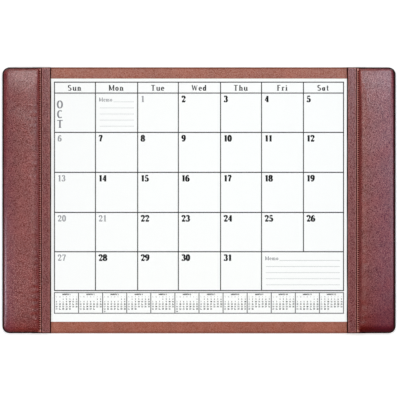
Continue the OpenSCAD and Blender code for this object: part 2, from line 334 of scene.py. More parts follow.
def padding_height(u, v, rng, places):
    """Height of the leather over a rail at grid coordinates u, v."""
    y = v - HALF_D
    z_foot = Z_PLATFORM + SHOULDER_FOOT
    z_groove = Z_PLATFORM + GROOVE_T
    from_end = np.minimum(v, PAD_D - v) - WALL_LEAN
    share = np.clip((SEAM_U - u) / slope_width(v, rng), 0, 1)
    slope = z_groove + (Z_CROWN - z_groove) * np.sin(math.pi / 2 * share ** RISE_POWER)
    lip_top = Z_PLATFORM + LIP_T
    lip = z_groove + (lip_top - z_groove) * smooth_step(0, LIP_RISE_W, u - SEAM_U)
    over = np.clip((u - RAIL_W) / (LIP_END - RAIL_W), 0, 1)
    lip = lip - (lip_top - Z_PLATFORM - LIP_EDGE_T) * (1 - np.sqrt(1 - over ** 2))
    top = np.where(u < SEAM_U, slope, lip)
    end_dome = 1 - END_FALL * np.clip(1 - from_end / END_REACH, 0, 1) ** 2
    end_width = np.where(v > HALF_D, FAR_SHOULDER_W, SHOULDER_W)
    rise = shoulder_rise(u - WALL_LEAN, CROWN_REACH) * shoulder_rise(from_end, END_CROWN_REACH, end_width)
    rise = rise * end_dome
    z = z_foot + (top - z_foot) * rise
    on_pad = smooth_step(0, 6, SEAM_U - u) * smooth_step(0, 8, u - WALL_LEAN) * smooth_step(0, 8, from_end)
    z += CROWN_WAVE * on_pad * waves(y + CROWN_WAVE_LEAN * u, rng, *CROWN_WAVES)
    z += wrinkles(u, y, rng, places) * smooth_step(0, 6, from_end)
    pucker = PUCKER * np.exp(-np.abs(u - SEAM_U) / PUCKER_REACH)
    inside = (np.abs(y) < hole_places()[-1]) & (u < RAIL_W)
    z += np.where(inside, pucker * np.cos(2 * math.pi * (y - stitch_places()[0]) / STITCH_PITCH), 0)
    return z - HOLE_DEPTH * hole_share(u, y), share


def slope_width(v, rng):
    """How far the padding takes to rise from the seam: less at the ends, and uneven along the rail."""
    from_near, from_far = v - WALL_LEAN, PAD_D - v - WALL_LEAN
    far = FAR_SLOPE + (1 - FAR_SLOPE) * smooth_step(*FAR_SLOPE_V, from_far)
    near = NEAR_SLOPE + (1 - NEAR_SLOPE) * smooth_step(*NEAR_SLOPE_V, from_near)
    return SLOPE_W * (far * near) * (1 + SLOPE_WAVE * waves(v - HALF_D, rng, *SLOPE_WAVES))


def seam_share(u):
    """One along the seam and nothing beside it."""
    return np.exp(-(((u - SEAM_U) / SEAM_HALF) ** 4))


def hole_rows(y):
    """One where the seam has a needle hole and nothing between two holes."""
    off = np.abs(y[..., None] - hole_places()).min(axis=-1)
    return fade(HOLE_HALF, HOLE_HALF + HOLE_FADE, off)


def hole_share(u, y):
    """One in the middle of a needle hole and nothing away from it."""
    return hole_rows(y) * seam_share(u)


def far_to_near(pair, v):
    """A value that changes from the first of a pair at the far end to the second at the near end."""
    far, near = pair
    return near + (far - near) * smooth_step(0, PAD_D, v)


def polish(side, u, v):
    """How far hands have polished the outer shoulder."""
    across = smooth_step(*POLISH_FROM, u) * fade(*POLISH_TO, u)
    return far_to_near(POLISH[side], v) * across * smooth_step(*POLISH_V, v)


def bloom(side, u, v, share):
    """A painted bluish sheen added to the leather's colour, strongest towards the outer edge."""
    return far_to_near(SHEEN_PAINT[side], v) * fade(*SHEEN_PAINT_U[side], u) * smooth_step(*SHEEN_PAINT_SHARE, share)


def rail_stains(side, u, v, share):
    """Painted shade in the holes, on slope and ends and round the shoulder, a dark lip edge of edge paint and
    painted shade, and a pale lip of rubbed leather and painted highlight, with painted highlights between the
    holes.
    """
    # Painted shade in the needle holes.
    holes = hole_share(u, v - HALF_D)
    # Painted shade in a band round the foot of the padding, set further in on the right rail.
    from_edge = np.minimum(u - OUTER_SHADE_SHIFT[side], np.minimum(v, PAD_D - v + FAR_FOOT))
    foot = WALL_SHADE_AND_EDGE_PAINT * fade(*FOOT_REACH, from_edge) * (u < SEAM_U - 3)
    # Painted shade on the slope beside the seam.
    slope = far_to_near(SLOPE_SHADE[side], v) * fade(*SLOPE_REACH[side], share) * (u < SEAM_U - 1.2)
    # Painted shade over the ends and outer side of the padding, fading out towards the seam.
    painted_shade = END_SHADE[side] * fade(*END_SHADE_V, v) + NEAR_SHADE[side] * fade(*NEAR_SHADE_V, v)
    painted_shade = painted_shade + LONG_SHADE[side] * fade(*LONG_SHADE_V, v) + NEAR_RIM[side] * fade(*NEAR_RIM_V, v)
    flank = SIDE_SHADE[side] * fade(*SIDE_SHADE_U, u) * smooth_step(*SIDE_SHADE_V, v)
    painted_shade = painted_shade + flank * smooth_step(*SIDE_SHADE_FAR, PAD_D - v)
    painted_shade = painted_shade * fade(SEAM_U - 4, SEAM_U, u)
    # Lighter lip: rubbed leather and painted highlight, dipping at the holes; painted highlight between the
    # holes.
    lip = far_to_near(LIP_RUB_AND_HIGHLIGHT[side], v) * (1 - far_to_near(HOLE_DIP[side], v) * hole_rows(v - HALF_D))
    lip = lip * smooth_step(*LIP_RUB_AND_HIGHLIGHT_FROM, u - SEAM_U) * fade(RAIL_W, LIP_END, u)
    # The lip's cut edge is darker: partly edge paint, partly painted shade.
    edge = WALL_SHADE_AND_EDGE_PAINT * smooth_step(RAIL_W, LIP_END, u)
    between = far_to_near(BETWEEN_HIGHLIGHT[side], v) * (seam_share(u) - holes)
    return np.maximum.reduce([holes, foot, slope, painted_shade, edge]), np.maximum(lip, between)


def rail_cover(side, places, seed):
    """The leather over one rail as a closed shell: padding, wall, rounded lower edge, turn-in and lip."""
    rng = np.random.default_rng(seed)
    grid_u, grid_v = np.meshgrid(rail_columns(), rail_rows(), indexing="ij")
    plan_u, plan_v = round_corner(grid_u, grid_v, WALL_LEAN)
    plan_u, back_v = round_corner(plan_u, PAD_D - plan_v, WALL_LEAN)
    plan_v = PAD_D - back_v
    z, share = padding_height(grid_u, grid_v, rng, places)
    across, along = grid_u.shape
    top_index = np.arange(across * along).reshape(across, along)
    top = np.stack([plan_u, plan_v - HALF_D, z], axis=-1).reshape(-1, 3)
    # Painted shade with edge paint, and rubbed leather with painted highlights, go to the material as values
    # at the points, together with the worn gloss and the painted sheen.
    dye_and_shade, rub_and_highlight = rail_stains(side, grid_u, grid_v, share)
    values = {
        "dye_and_shade": [dye_and_shade.ravel()],
        "rub_and_highlight": [rub_and_highlight.ravel()],
        "worn": [polish(side, grid_u, grid_v).ravel()],
        "bloom": [bloom(side, grid_u, grid_v, share).ravel()],
    }
    path = np.concatenate([top_index[::-1, 0], top_index[0, 1:-1], top_index[:, -1]])
    points, rows = [top], [path]
    count = len(top)
    for inset, height in wall_levels():
        ring_u, ring_v = edge_ring(top[path, 0], top[path, 1] + HALF_D, inset)
        points.append(np.stack([ring_u, ring_v - HALF_D, np.full_like(ring_u, height)], axis=-1))
        # Painted shade down the wall, weaker on the rounded lower edge and the turn-in.
        wall_shade = WALL_FOOT_SHADE + (1 - WALL_FOOT_SHADE) * smooth_step(WALL_FOOT_Z, Z_BED, height)
        for name, parts in values.items():
            parts.append(np.full(len(path), WALL_SHADE_AND_EDGE_PAINT * wall_shade if name == "dye_and_shade" else 0.0))
        rows.append(count + np.arange(len(path)))
        count += len(path)
    points = np.concatenate(points)
    quads = np.concatenate([grid_faces(top_index), grid_faces(np.array(rows).T)])
    inside = points - LEATHER_T * point_normals(points, quads)
    inside[:len(top), 2] = np.maximum(inside[:len(top), 2], Z_PLATFORM + INSIDE_GAP)
    points, quads = thicken(points, quads, inside)
    sign = SIDES[side]
    points[:, 0] = sign * (HALF_W - points[:, 0])
    if sign > 0:
        quads = quads[:, ::-1]
    obj = make_object(f"{side}_rail_padding", points, quads)
    for name, parts in values.items():
        add_values(obj, name, np.concatenate(parts + parts))
    add_values(obj, "coarse", COARSE[side] * fade(*COARSE_Y, points[:, 1]))
    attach(obj, "base")
    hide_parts(f"{side}_rail_cover")
    return obj


def edge_ring(u, v, inset):
    """The points of the padding's edge moved to another inset, with the corner's arc in step."""
    r0 = CORNER_R - MITRE_FALL * WALL_LEAN
    r1 = CORNER_R - MITRE_FALL * inset
    c0, c1 = WALL_LEAN + r0, inset + r1
    new_u = np.where(u < c0, c1 - (c0 - u) * r1 / r0, c1 + (u - c0) * (LIP_END - c1) / (LIP_END - c0))
    half = HALF_D - c0
    off = v - HALF_D
    past = np.maximum(np.abs(off) - half, 0)
    straight = np.minimum(np.abs(off), half) * (HALF_D - c1) / half
    new_v = HALF_D + np.sign(off) * (straight + past * r1 / r0)
    return new_u, new_v


# Stitches

THREAD_R = 0.45
THREAD_FLAT = 1.5
THREAD_SEAT = 0.16
THREAD_BEND = 0.28
THREAD_SINK = 0.12
STITCH_HALF = 0.85
STITCH_LEAN = 0.12
STITCH_STEPS, STITCH_SIDES = 9, 8


def stitch_rows(side):
    """A row of short bent threads, each from one needle hole to the next."""
    sign = SIDES[side]
    t = np.linspace(-1, 1, STITCH_STEPS)
    turn = np.linspace(0, 2 * math.pi, STITCH_SIDES, endpoint=False)
    seat = Z_PLATFORM + GROOVE_T + THREAD_SEAT
    points, faces = [], []
    for n, y0 in enumerate(stitch_places()):
        start = len(points)
        lean = STITCH_LEAN * math.sin(2.4 * n)
        for s in t:
            radius = THREAD_R * math.sqrt(max(1 - abs(s) ** 5, 0.08))
            lift = THREAD_BEND * (1 - abs(s) ** 3) - THREAD_SINK
            centre = (SEAM_U + lean * s, y0 + STITCH_HALF * s, seat + lift)
            for a in turn:
                u = centre[0] + THREAD_FLAT * radius * math.cos(a)
                points.append((sign * (HALF_W - u), centre[1], centre[2] + radius * math.sin(a)))
        ring = len(turn)
        for k in range(len(t) - 1):
            for i in range(ring):
                j = (i + 1) % ring
                low = start + k * ring
                quad = (low + i, low + j, low + ring + j, low + ring + i)
                faces.append(quad if sign > 0 else quad[::-1])
        first = tuple(start + i for i in range(ring))
        last = tuple(start + (len(t) - 1) * ring + i for i in range(ring))
        faces.append(first[::-1] if sign > 0 else first)
        faces.append(last if sign > 0 else last[::-1])
    obj = make_object(f"{side}_stitches", points, faces)
    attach(obj, "base")
    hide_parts(f"{side}_seam_thread")
    return obj


# Flaps

FACING_T = 0.7
LINING_T = 0.55
LINING_GAP = 0.1
POCKET_IN = 0.6
NOSE_STEPS = 9
BEND_START = RAIL_W - 0.3
BEND_MIDDLE = RAIL_W + 1.3
BEND_END = RAIL_W + 2.9
ROOT_U = RAIL_W + 2.5
FACE_DROP = 0.1
FOLD_U, FOLD_W, FOLD_DEPTH = RAIL_W + 1, 0.5, 0.42
CREASE_IN, CREASE_W, CREASE_DEPTH = 1.7, 0.35, 0.16
CREASES = (FLAP_END - CREASE_IN, RAIL_W + 1.9 + CREASE_IN)
BULGE, BULGE_W = 0.1, FLAP_END - ROOT_U - 1
LOOSE_U = RAIL_W + 6.5
END_ROUND = 1.0
END_STATIONS = (1.3, 1.9, 2.6, 3.5)
EDGE_WANDER, EDGE_WAVES = 0.12, (40, 130, 5)
# The free edge is dark, edge paint and painted shade; painted shade lies in the crease beside the lip; both
# ends are darker along their edges.
EDGE_PAINT_AND_SHADE = (FLAP_END - 2.1, FLAP_END - 1.6)
GAP_SHADE = (RAIL_W + 1.1, RAIL_W + 1.8)
NEAR_END_DARK = (HALF_D - 1.9, HALF_D - 1.3)
FAR_END_DARK = (HALF_D - 1.6, HALF_D - 0.9)
FAR_END_SHARE = 0.6
# Painted highlights along the long edges, beside the root and at the ends.
FLAP_HIGHLIGHT = 0.25
HIGHLIGHT_IN, HIGHLIGHT_W = 2.8, 0.7
ROOT_HIGHLIGHT = 0.6
END_HIGHLIGHT = (HALF_D - 3.5, HALF_D - 1.5)


def ridge(u, middle, width):
    """A smooth rise to one about a middle."""
    return np.exp(-(((u - middle) / width) ** 2))


def flap_top(u):
    """Height of the flap's face: a fold beside the lip, and a pressed line inside each long edge."""
    fold = FOLD_DEPTH * ridge(u, FOLD_U, FOLD_W)
    lines = sum(CREASE_DEPTH * ridge(u, c, CREASE_W) for c in CREASES)
    body = BULGE * np.sin(math.pi * np.clip((u - ROOT_U) / BULGE_W, 0, 1))
    return Z_PLATFORM - FACE_DROP - fold - lines + body


def flap_section(hollow):
    """Closed outline of the flap's leather as points u, z: free edge, face, root and underside."""
    r = (Z_PLATFORM - Z_FLAP) / 2
    nose = [
        (FLAP_END - r + r * math.cos(a), Z_FLAP + r + (r - 0.05) * math.sin(a))
        for a in np.radians(np.linspace(-90, 80, NOSE_STEPS))
    ]
    # The points lie closer over the pressed lines, the fold and the bend.
    face_u = np.concatenate([
        np.linspace(FLAP_END - r - 0.1, FLAP_END - 4.5, 12),
        np.linspace(FLAP_END - 5.5, RAIL_W + 5.4, 4),
        np.linspace(RAIL_W + 4.7, BEND_START, 21),
        np.linspace(RAIL_W - 2.5, HEM_U, 4),
    ])
    face = [(u, float(flap_top(u))) for u in face_u]
    root = [(u, Z_FLAP) for u in (HEM_U, BEND_START, BEND_MIDDLE, BEND_END)]
    low, mid, high = Z_FLAP, Z_FLAP + LINING_T, Z_PLATFORM - FACING_T
    first, last = LINING_U - LINING_GAP, LINING_END + LINING_GAP
    inner = BEND_END + POCKET_IN
    if hollow:
        pocket = [
            (first, low), (first, mid), (inner, mid), (inner, high),
            (FLAP_END - r, high), (FLAP_END - r, mid), (last, mid), (last, low),
        ]
    else:
        pocket = [(first + k * (last - first) / 7, low) for k in range(8)]
    return np.array(nose + face + root + pocket)


def flap_leather(side, seed):
    """Hem and flap as one bent strip of leather with a turned-in free edge."""
    rng = np.random.default_rng(seed)
    sign = SIDES[side]
    full = HALF_D - END_ROUND
    cavity = LINING_Y + LINING_GAP
    round_end = [(full + math.sin(a), 1 - math.cos(a)) for a in np.radians([80, 55, 30])]
    inner = np.linspace(-cavity, cavity, 150)
    solid = [HALF_D - d for d in END_STATIONS]
    solid = [full] + [y for y in solid if cavity + 0.3 < y < full] + [cavity + 0.05]
    stations = [(-y, s, False) for y, s in round_end] + [(-y, 0, False) for y in solid]
    stations += [(y, 0, True) for y in inner]
    stations += [(-y, s, h) for y, s, h in reversed(stations[:len(round_end) + len(solid)])]
    mid = (Z_FLAP + Z_PLATFORM) / 2
    drift = waves(np.array([s[0] for s in stations]), rng, *EDGE_WAVES)
    points, dye_and_shade, rub_and_highlight = [], [], []
    for (y, shrink, hollow), wander in zip(stations, drift):
        section = flap_section(hollow)
        section[:, 1] = mid + (section[:, 1] - mid) * (1 - 0.6 * shrink)
        free = smooth_step(LOOSE_U, FLAP_END, section[:, 0])
        section[:, 0] += EDGE_WANDER * wander * free - 0.5 * shrink * free
        points += [(sign * (HALF_W - u), y, z) for u, z in section]
        u = section[:, 0]
        # Free edge: edge paint and painted shade; crease by the lip: painted shade; darker ends.
        edge = smooth_step(*EDGE_PAINT_AND_SHADE, u)
        gap = fade(*GAP_SHADE, u)
        near_end = np.full_like(u, smooth_step(*NEAR_END_DARK, -y))
        far_end = np.full_like(u, FAR_END_SHARE * smooth_step(*FAR_END_DARK, y))
        dye_and_shade += list(np.maximum.reduce([edge, gap, near_end, far_end]))
        # Painted highlights on the rolled edges and ends.
        lines = ridge(u, FLAP_END - HIGHLIGHT_IN, HIGHLIGHT_W) + ROOT_HIGHLIGHT * ridge(u, ROOT_U, HIGHLIGHT_W)
        end = smooth_step(*END_HIGHLIGHT, abs(y)) * (edge < 0.5) * (gap < 0.5)
        rub_and_highlight += list(FLAP_HIGHLIGHT * np.maximum(lines, end))
    n = len(flap_section(True))
    index = np.arange(len(points)).reshape(len(stations), n)
    index = np.concatenate([index, index[:, :1]], axis=1)
    first, last = index[0, :-1], index[-1, :-1]
    faces = [tuple(f) for f in grid_faces(index)] + [tuple(first[::-1]), tuple(last)]
    if sign < 0:
        faces = [f[::-1] for f in faces]
    obj = make_object(f"{side}_flap_leather", points, faces)
    obj.data.set_sharp_from_angle(angle=math.radians(50))
    add_values(obj, "dye_and_shade", dye_and_shade)
    add_values(obj, "rub_and_highlight", rub_and_highlight)
    start = (sign * (HALF_W - BEND_START) * MM, 0, mid * MM)
    end = (sign * (HALF_W - BEND_END) * MM, 0, mid * MM)
    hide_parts(f"{side}_flap_facing", f"{side}_flap_hem")
    return obj, start, end


# Plain lettering: each sign is a few pen strokes, wide where the pen runs upright

PEN_WIDE = 0.2
PEN_THIN = 0.075


def stroke(path, way, width, weight):
    """Outline of one pen stroke along a path whose direction is way, with a pen that is heavier by weight."""
    way = way / np.linalg.norm(way, axis=1, keepdims=True)
    half = (PEN_THIN + (PEN_WIDE - PEN_THIN) * np.abs(way[:, 1])) / 2 if width is None else width / 2
    off = np.stack([-way[:, 1], way[:, 0]], axis=1) * np.reshape(half * weight, (-1, 1))
    return np.concatenate([path - off, (path + off)[::-1]])


def line(*path, width=None):
    path = np.array(path, float)
    return lambda steps, weight: stroke(path, np.gradient(path, axis=0), width, weight)


def arc(cx, cy, rx, ry, first, last, width=None):
    def outline(steps, weight):
        a = np.radians(np.linspace(first, last, max(3, round(abs(last - first) / 180 * steps) + 1)))
        path = np.stack([cx + rx * np.cos(a), cy + ry * np.sin(a)], axis=1)
        way = np.stack([-rx * np.sin(a), ry * np.cos(a)], axis=1) * np.sign(last - first)
        return stroke(path, way, width, weight)
    return outline


def ring(cx, cy, rx, ry):
    return [arc(cx, cy, rx, ry, 0, 180), arc(cx, cy, rx, ry, 180, 360)]


def ball(cx, cy, r):
    def outline(steps, weight):
        a = np.linspace(0, 2 * math.pi, steps, endpoint=False)
        return np.stack([cx + r * np.cos(a), cy + r * np.sin(a)], axis=1)
    return outline


def stem(x, low=0.0, high=1.0, feet=True):
    """An upright with a foot serif."""
    parts = [line((x, low), (x, high), width=PEN_WIDE)]
    if feet:
        parts.append(line((x - 0.17, low + 0.035), (x + 0.17, low + 0.035), width=0.07))
    return parts


def bar(x0, x1, y, width=0.08):
    return line((x0, y), (x1, y), width=width)


SIX = ring(0.31, 0.3, 0.21, 0.265) + [arc(0.45, 0.4, 0.35, 0.56, 180, 80), ball(0.5, 0.84, 0.08)]
SIGNS = {
    "0": (0.7, ring(0.31, 0.5, 0.21, 0.465)),
    "1": (0.62, stem(0.31) + [line((0.3, 0.96), (0.1, 0.82), width=0.09)]),
    "2": (0.7, [arc(0.29, 0.72, 0.2, 0.245, 170, -25), line((0.47, 0.61), (0.3, 0.33), (0.1, 0.1), width=0.1),
                bar(0.05, 0.57, 0.08, 0.16), line((0.55, 0.05), (0.58, 0.26), width=0.06),
                ball(0.13, 0.75, 0.085)]),
    "3": (0.7, [arc(0.28, 0.75, 0.18, 0.215, 150, -90), arc(0.27, 0.27, 0.23, 0.235, 90, -150),
                ball(0.13, 0.83, 0.08), ball(0.11, 0.19, 0.09)]),
    "4": (0.7, stem(0.42) + [line((0.41, 0.97), (0.04, 0.3), width=0.08), bar(0.02, 0.6, 0.29)]),
    "5": (0.7, [bar(0.12, 0.54, 0.93, 0.14), line((0.14, 0.95), (0.12, 0.5), width=0.08),
                arc(0.28, 0.3, 0.22, 0.265, 135, -150), ball(0.11, 0.19, 0.085)]),
    "6": (0.7, SIX),
    "7": (0.66, [bar(0.05, 0.58, 0.93, 0.14), line((0.08, 0.95), (0.05, 0.7), width=0.06),
                 line((0.53, 0.9), (0.36, 0.5), (0.26, 0.0), width=0.17)]),
    "8": (0.7, ring(0.31, 0.74, 0.18, 0.235) + ring(0.31, 0.265, 0.215, 0.235)),
    "S": (0.68, [arc(0.31, 0.735, 0.2, 0.232, 35, 270), arc(0.31, 0.267, 0.22, 0.236, 90, -150)]),
    "M": (1.0, stem(0.84) + stem(0.14, feet=False) + [line((0.14, 0.97), (0.47, 0.1), width=0.16),
                                                     line((0.47, 0.1), (0.84, 0.97), width=0.08)]),
    "T": (0.8, stem(0.38) + [bar(0.03, 0.73, 0.95, 0.1)]),
    "W": (1.1, [line((0.1, 1.0), (0.32, 0.05), width=0.17), line((0.32, 0.05), (0.53, 0.9), width=0.08),
                line((0.53, 0.9), (0.75, 0.05), width=0.17), line((0.75, 0.05), (0.97, 1.0), width=0.08)]),
    "F": (0.72, stem(0.22) + [bar(0.1, 0.65, 0.95, 0.1), bar(0.2, 0.52, 0.52)]),
    "O": (0.86, ring(0.4, 0.5, 0.29, 0.465)),
    "V": (0.84, [line((0.08, 1.0), (0.41, 0.04), width=0.17), line((0.41, 0.04), (0.74, 1.0), width=0.08)]),
    "C": (0.8, [arc(0.4, 0.5, 0.29, 0.465, 50, 310)]),
    "N": (0.94, stem(0.14, feet=False) + stem(0.76, feet=False)
          + [line((0.14, 0.97), (0.76, 0.05), width=0.16)]),
    "H": (0.94, stem(0.17) + stem(0.73) + [bar(0.2, 0.7, 0.52)]),
    "u": (0.68, stem(0.52, high=0.66) + [line((0.14, 0.66), (0.14, 0.22)),
                                        arc(0.33, 0.22, 0.19, 0.19, 180, 360)]),
    "n": (0.68, stem(0.16, high=0.66) + stem(0.5, high=0.42) + [arc(0.33, 0.42, 0.17, 0.2, 180, 0)]),
    "o": (0.62, ring(0.29, 0.33, 0.19, 0.295)),
    "e": (0.58, [arc(0.29, 0.33, 0.19, 0.295, 0, 320), bar(0.14, 0.5, 0.36)]),
    "a": (0.62, ring(0.25, 0.29, 0.15, 0.255) + stem(0.44, high=0.62, feet=False)),
    "d": (0.66, ring(0.27, 0.33, 0.17, 0.295) + stem(0.48, feet=False)),
    "h": (0.7, stem(0.16) + stem(0.52, high=0.42) + [arc(0.34, 0.42, 0.18, 0.2, 180, 0)]),
    "r": (0.52, stem(0.17, high=0.66) + [arc(0.35, 0.42, 0.18, 0.2, 180, 80), ball(0.41, 0.57, 0.075)]),
    "i": (0.36, stem(0.18, high=0.66) + [ball(0.18, 0.88, 0.1)]),
    "t": (0.44, [line((0.2, 0.9), (0.2, 0.04), width=0.17), bar(0.04, 0.4, 0.64),
                 bar(0.16, 0.4, 0.06, 0.09)]),
    "m": (0.98, stem(0.14, high=0.66) + stem(0.47, high=0.42) + stem(0.8, high=0.42)
          + [arc(0.305, 0.42, 0.165, 0.2, 180, 0), arc(0.635, 0.42, 0.165, 0.2, 180, 0)]),
}


def flat_union(outlines):
    """Points and triangles that cover overlapping outlines once."""
    points, faces = [], []
    for outline in outlines:
        faces.append(list(range(len(points), len(points) + len(outline))))
        points += [Vector(p) for p in outline]
    made = delaunay_2d_cdt(points, [], faces, 1, 1e-5)
    triangles = [f for f, source in zip(made[2], made[5]) if source]
    return np.array([tuple(p) for p in made[0]]), np.array(triangles)


def turn_half(shape):
    """The same outline turned half round in its cell."""
    return lambda steps, weight: np.array([0.62, 1.0]) - shape(steps, weight)


SIGNS["9"] = (0.7, [turn_half(part) for part in SIX])
drawn_signs = {}
SPACE_W = 0.4


def sign_width(sign):
    return SIGNS[sign][0] if sign in SIGNS else SPACE_W


def sign_mesh(sign, steps, weight):
    key = (sign, steps, weight)
    if key not in drawn_signs:
        drawn_signs[key] = flat_union([part(steps, weight) for part in SIGNS[sign][1]])
    return drawn_signs[key]


class Ink:
    """Flat shapes gathered for one colour of print."""

    def __init__(self):
        self.points, self.triangles, self.count = [], [], 0

    def add(self, points, triangles):
        self.points.append(points)
        self.triangles.append(triangles + self.count)
        self.count += len(points)

    def bars(self, boxes):
        """Overlapping bars given as x0, y0, x1, y1."""
        self.add(*flat_union([[(a, b), (c, b), (c, d), (a, d)] for a, b, c, d in boxes]))

    def words(self, text, x, top, height, steps=14, weight=1.0, middle=False, tracking=0.0):
        """Signs of a height below a top line, from x or about it."""
        wide = sum(sign_width(c) + tracking for c in text) * height
        at = x - wide / 2 if middle else x
        for c in text:
            if c in SIGNS:
                points, triangles = sign_mesh(c, steps, weight)
                self.add(points * height + (at, top - height), triangles)
            at += (sign_width(c) + tracking) * height

    def print_on(self, name, z, body, material):
        """The gathered shapes as a thin closed layer that rides on a body."""
        flat = np.concatenate(self.points)
        tris = np.concatenate(self.triangles)
        n = len(flat)
        sides = [(b, a, a + n, b + n) for a, b in open_edges(tris)]
        low = np.column_stack([flat, np.full(n, z)])
        high = np.column_stack([flat, np.full(n, z + INK_T)])
        faces = [tuple(t) for t in tris] + [tuple(t[::-1] + n) for t in tris] + sides
        obj = make_object(name, np.concatenate([high, low]), faces, smooth=False)
        obj.data.materials.append(material)
        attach(obj, body)


INK_T = 0.02
SUNK_INK = 0.005 - INK_T
COLUMN_LINES = (-238.0, -170.5, -101.0, -34.0, 35.5, 103.0, 172.0, 238.0)
ROW_LINES = (194.5, 176.6, 111.8, 46.0, -20.0, -84.7, -148.6)
RULE_W = 1.65
HEAD_RULE_W = 1.75
SMALL_RULE_W = 1.5
SMALL_TOP, SMALL_LOW = -152.0, -186.0
SMALL_IN, SMALL_STEP, SMALL_DROP = 3.4, 5.5, 4.03
SMALL_TITLE_H, SMALL_HEAD_H, SMALL_DAY_H = 2.4, 2.0, 2.3
SMALL_TITLE, SMALL_HEADS, SMALL_DAYS = 1.7, 5.9, 9.7
SMALL_STEPS = 4
SMALL_WEIGHT = 1.9
MONTH_DAYS = (31, 28, 31, 30, 31, 30, 31, 31, 30, 31, 30, 31)
YEAR_START = 2
BOLD = 1.65
PLAIN = 1.1
WEEK = ("Sun", "Mon", "Tue", "Wed", "Thu", "Fri", "Sat")
HEAD_H, HEAD_DROP, HEAD_TRACKING = 9.4, 4.6, 0.14
NUMBER_H, NUMBER_DROP, NUMBER_IN = 10.2, 4.6, 5.4
MONTH_H, MONTH_X, MONTH_DROP, MONTH_STEP, MONTH_WEIGHT = 12.8, -228.7, 12.4, 16, 1.05
NOTE_H, NOTE_IN, NOTE_DROP = 6.4, 6, 7.5
NOTE_LINES, NOTE_PITCH, NOTE_LINE_DROP, NOTE_LINE_HALF = 5, 10.0, 14.5, 0.2
NOTE_FIRST_IN, NOTE_NEXT_IN = 29.5, 7
WIDE_NOTE_LINE = 6


def month_grid(ink, wide_note):
    left, right = COLUMN_LINES[0], COLUMN_LINES[-1]
    top, low = ROW_LINES[0], ROW_LINES[-1]
    h, b = RULE_W / 2, HEAD_RULE_W / 2
    boxes = [(left - h, y - b, right + h, y + b) for y in ROW_LINES]
    for k, x in enumerate(COLUMN_LINES):
        stop = ROW_LINES[-2] if wide_note and k == WIDE_NOTE_LINE else low
        boxes.append((x - h, stop, x + h, top))
    ink.bars(boxes)


def print_sheet(node, body, name, month, first, days, pale_days, z_lift=0.0, wide_note=True):
    """The print of one month sheet: ruled month, dates, notes cells and twelve small months."""
    z = box_mm(node)[1][2] + z_lift
    grid, heads, black, grey, pale, lines = (Ink() for _ in range(6))
    month_grid(grid, wide_note)
    for k, word in enumerate(WEEK):
        centre = (COLUMN_LINES[k] + COLUMN_LINES[k + 1]) / 2
        heads.words(word, centre, ROW_LINES[0] - HEAD_DROP, HEAD_H, weight=PLAIN, middle=True,
                    tracking=HEAD_TRACKING)
    for day in range(1, days + 1):
        row, column = divmod(first + day - 1, len(WEEK))
        resting = column == 0 or day in pale_days
        ink, weight = (pale, PLAIN) if resting else (black, BOLD)
        x, top = COLUMN_LINES[column] + NUMBER_IN, ROW_LINES[row + 1] - NUMBER_DROP
        ink.words(str(day), x, top, NUMBER_H, weight=weight)
    for k, letter in enumerate(month):
        top = ROW_LINES[1] - MONTH_DROP - MONTH_STEP * k
        grey.words(letter, MONTH_X, top, MONTH_H, weight=MONTH_WEIGHT, middle=True)
    notes(grey, COLUMN_LINES[1], COLUMN_LINES[2], ROW_LINES[1])
    if wide_note:
        notes(grey, COLUMN_LINES[5], COLUMN_LINES[7], ROW_LINES[5])
    small_months(lines, black, grey)
    inks = {"rules": grid, "heads": heads, "dates": black, "notes": grey, "rest_days": pale, "boxes": lines}
    for label, ink in inks.items():
        ink.print_on(f"{name}_{label}", z, body, ink_materials[label])


def notes(ink, x0, x1, top):
    """A heading word and writing lines in a cell."""
    ink.words("Memo", x0 + NOTE_IN, top - NOTE_DROP, NOTE_H, steps=6, weight=0.9, tracking=0.08)
    for k in range(NOTE_LINES):
        y = top - NOTE_LINE_DROP - NOTE_PITCH * k
        start = x0 + (NOTE_FIRST_IN if k == 0 else NOTE_NEXT_IN)
        ink.bars([(start, y - NOTE_LINE_HALF, x1 - NOTE_IN, y + NOTE_LINE_HALF)])


def small_months(lines, black, grey):
    """Twelve small month tables in a row."""
    left, right = COLUMN_LINES[0], COLUMN_LINES[-1]
    pitch = (right - left) / len(MONTH_DAYS)
    h = SMALL_RULE_W / 2
    uprights = [left + k * pitch for k in range(len(MONTH_DAYS) + 1)]
    boxes = [(x - h, SMALL_LOW, x + h, SMALL_TOP) for x in uprights]
    boxes += [(left - h, y - h, right + h, y + h) for y in (SMALL_TOP, SMALL_LOW)]
    lines.bars(boxes)
    first = YEAR_START
    for k, days in enumerate(MONTH_DAYS):
        x0 = left + k * pitch
        x, top = x0 + pitch / 2, SMALL_TOP - SMALL_TITLE
        black.words(f"MONTH {k + 1}", x, top, SMALL_TITLE_H, SMALL_STEPS, BOLD, middle=True)
        for c, word in enumerate(WEEK):
            x = x0 + SMALL_IN + SMALL_STEP * c
            grey.words(word[0], x, SMALL_TOP - SMALL_HEADS, SMALL_HEAD_H, SMALL_STEPS, middle=True)
        for day in range(1, days + 1):
            row, column = divmod(first + day - 1, len(WEEK))
            ink = grey if column == 0 else black
            x, top = x0 + SMALL_IN + SMALL_STEP * column, SMALL_TOP - SMALL_DAYS - SMALL_DROP * row
            ink.words(str(day), x, top, SMALL_DAY_H, SMALL_STEPS, SMALL_WEIGHT, middle=True)
        first = (first + days) % len(WEEK)


# Materials

